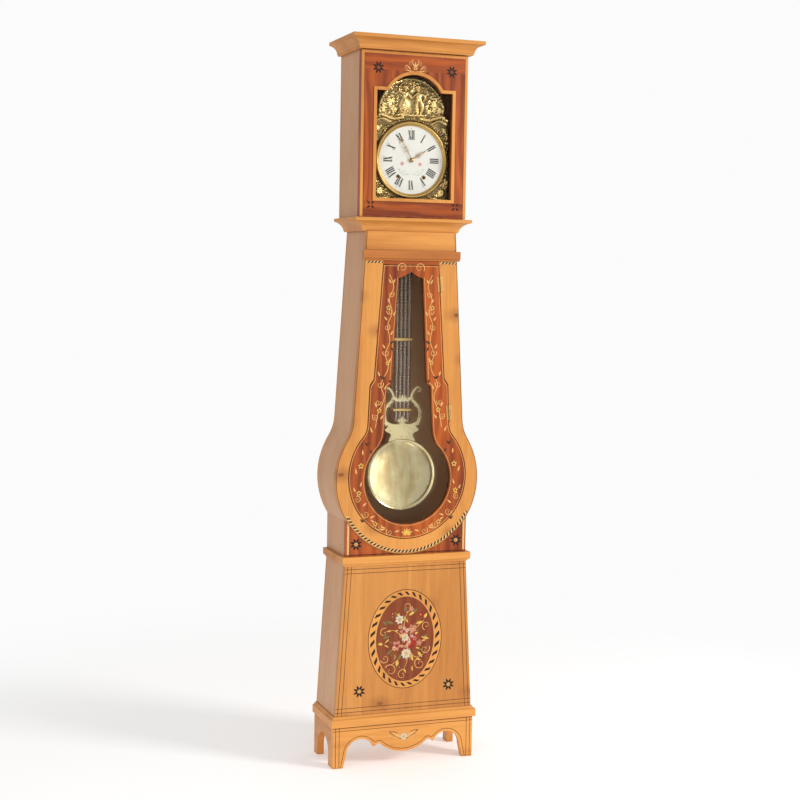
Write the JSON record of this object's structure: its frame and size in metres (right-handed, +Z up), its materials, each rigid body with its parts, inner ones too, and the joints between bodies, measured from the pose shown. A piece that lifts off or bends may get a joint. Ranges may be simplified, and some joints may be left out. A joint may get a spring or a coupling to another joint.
{
  "type": "grandfather clock",
  "caption": "Tall weight-driven floor clock with a violin-shaped trunk, glazed doors, enamel dial and a lyre pendulum with a round bob.",
  "frame": {"origin": "on the floor at the middle of the clock's box", "axes": "+Z up, +X to the right seen from the front, +Y to the back; the front faces -Y"},
  "size_m": [0.493, 0.248, 2.3],
  "materials": {
    "honey_wood": "waxed cherry-coloured wood, satin",
    "mahogany": "dark red veneer, satin",
    "glass": "clear",
    "bronze": "dark bronze, satin",
    "embossed_brass": "antique, pressed relief",
    "polished_brass": "polished",
    "brass": "satin",
    "bell_metal": "satin",
    "gilt": "gilt",
    "enamel": "white enamel",
    "steel": "satin",
    "iron": "matt",
    "cord": "twisted"
  },
  "bodies": {
    "case": {"front_apron": "honey_wood", "left_apron": "honey_wood", "right_apron": "honey_wood", "plinth_moulding": "honey_wood", "base_floor": "honey_wood", "base_front": "honey_wood", "base_left_side": "honey_wood", "base_right_side": "honey_wood", "medallion": "mahogany", "base_rail": "honey_wood", "back_board": "honey_wood", "box_spandrels": "mahogany", "box_sides": "honey_wood", "trunk_frame": "honey_wood", "trunk_left_side": "honey_wood", "trunk_right_side": "honey_wood", "frieze": "honey_wood", "door_hood_moulding": "honey_wood", "trunk_hinges": "bronze", "shoulder_moulding": "honey_wood", "seat_board": "honey_wood", "hood_left_side": "honey_wood", "hood_right_side": "honey_wood", "hood_back": "honey_wood", "hood_top": "honey_wood", "cornice": "honey_wood", "hood_hinges": "bronze", "embossed_front": "embossed_brass", "dial": "enamel", "bezel": "polished_brass", "front_plate": "brass", "back_plate": "brass", "pillars": "steel", "bell": "bell_metal", "going_cord": "cord", "strike_cord": "cord"},
    "trunk_door": {"trunk_door": "mahogany", "trunk_door_glass": "glass", "trunk_door_beads": "mahogany", "trunk_door_leaves": "bronze"},
    "hood_door": {"hood_door": "mahogany", "hood_door_moulding": "honey_wood", "hood_door_glass": "glass", "hood_door_beads": "mahogany", "hood_door_leaves": "bronze"},
    "pendulum": {"pendulum_rod": "steel", "gridiron": "steel", "lyre": "polished_brass", "bob": "polished_brass"},
    "anchor": {"anchor": "steel"},
    "minute_hand": {"minute_hand": "gilt"},
    "hour_hand": {"hour_hand": "gilt"},
    "minute_wheel": {"minute_wheel": "brass"},
    "centre_wheel": {"centre_wheel": "brass"},
    "escape_wheel": {"escape_wheel": "brass"},
    "going_drum": {"going_drum": "brass"},
    "strike_drum": {"strike_drum": "brass"},
    "going_weight": {"going_weight": "iron"},
    "strike_weight": {"strike_weight": "iron"},
    "hammer": {"hammer": "steel"}
  },
  "joints": [
    {"name": "trunk_door_hinge", "type": "hinge", "parent": "case", "child": "trunk_door", "pos_m": [0.1002, -0.0751, 1.54], "axis": [-0.0931, 0, 0.9957], "range_deg": [0, 100]},
    {"name": "hood_door_hinge", "type": "hinge", "parent": "case", "child": "hood_door", "pos_m": [0.1801, -0.0575, 2], "axis": [0, 0, 1], "range_deg": [0, 110]},
    {"name": "pendulum_swing", "type": "hinge", "parent": "case", "child": "pendulum", "pos_m": [0, -0.008, 1.903], "axis": [0, 1, 0], "range_deg": [-2.5, 2.5]},
    {"name": "anchor_rock", "type": "hinge", "parent": "case", "child": "anchor", "pos_m": [0, 0.026, 1.903], "axis": [0, 1, 0], "range_deg": [-3, 3]},
    {"name": "minute_hand_turn", "type": "hinge", "parent": "case", "child": "minute_hand", "pos_m": [0, -0.06, 1.927], "axis": [0, 1, 0], "continuous": true},
    {"name": "hour_hand_turn", "type": "hinge", "parent": "case", "child": "hour_hand", "pos_m": [0, -0.058, 1.927], "axis": [0, 1, 0], "continuous": true},
    {"name": "minute_wheel_turn", "type": "hinge", "parent": "case", "child": "minute_wheel", "pos_m": [0.027, -0.04, 1.927], "axis": [0, 1, 0], "continuous": true},
    {"name": "centre_wheel_turn", "type": "hinge", "parent": "case", "child": "centre_wheel", "pos_m": [0, 0.032, 1.927], "axis": [0, 1, 0], "continuous": true},
    {"name": "escape_wheel_turn", "type": "hinge", "parent": "case", "child": "escape_wheel", "pos_m": [0, 0.026, 1.865], "axis": [0, 1, 0], "continuous": true},
    {"name": "going_weight_drop", "type": "slide", "parent": "case", "child": "going_weight", "axis": [0, 0, -1], "range_m": [0, 1.1], "deforming": ["going_cord"]},
    {"name": "going_drum_turn", "type": "hinge", "parent": "case", "child": "going_drum", "pos_m": [0.043, 0.063, 1.8745], "axis": [0, 1, 0], "range_deg": [0, 2720]},
    {"name": "strike_weight_drop", "type": "slide", "parent": "case", "child": "strike_weight", "axis": [0, 0, -1], "range_m": [0, 1.1], "deforming": ["strike_cord"]},
    {"name": "strike_drum_turn", "type": "hinge", "parent": "case", "child": "strike_drum", "pos_m": [-0.043, 0.063, 1.8745], "axis": [0, 1, 0], "range_deg": [-2720, 0]},
    {"name": "hammer_swing", "type": "hinge", "parent": "case", "child": "hammer", "pos_m": [0.062, 0.054, 1.938], "axis": [0, 1, 0], "range_deg": [-5, 0], "stiffness_Nm_per_rad": 0.05}
  ],
  "couplings": [
    {"joint": "anchor_rock", "follows": "pendulum_swing", "ratio": 1},
    {"joint": "hour_hand_turn", "follows": "minute_hand_turn", "ratio": 0.083333},
    {"joint": "minute_wheel_turn", "follows": "minute_hand_turn", "ratio": -0.33333},
    {"joint": "escape_wheel_turn", "follows": "centre_wheel_turn", "ratio": -6.6667},
    {"joint": "going_drum_turn", "follows": "going_weight_drop", "rad_per_m": 43.103},
    {"joint": "strike_drum_turn", "follows": "strike_weight_drop", "rad_per_m": -43.103}
  ]
}
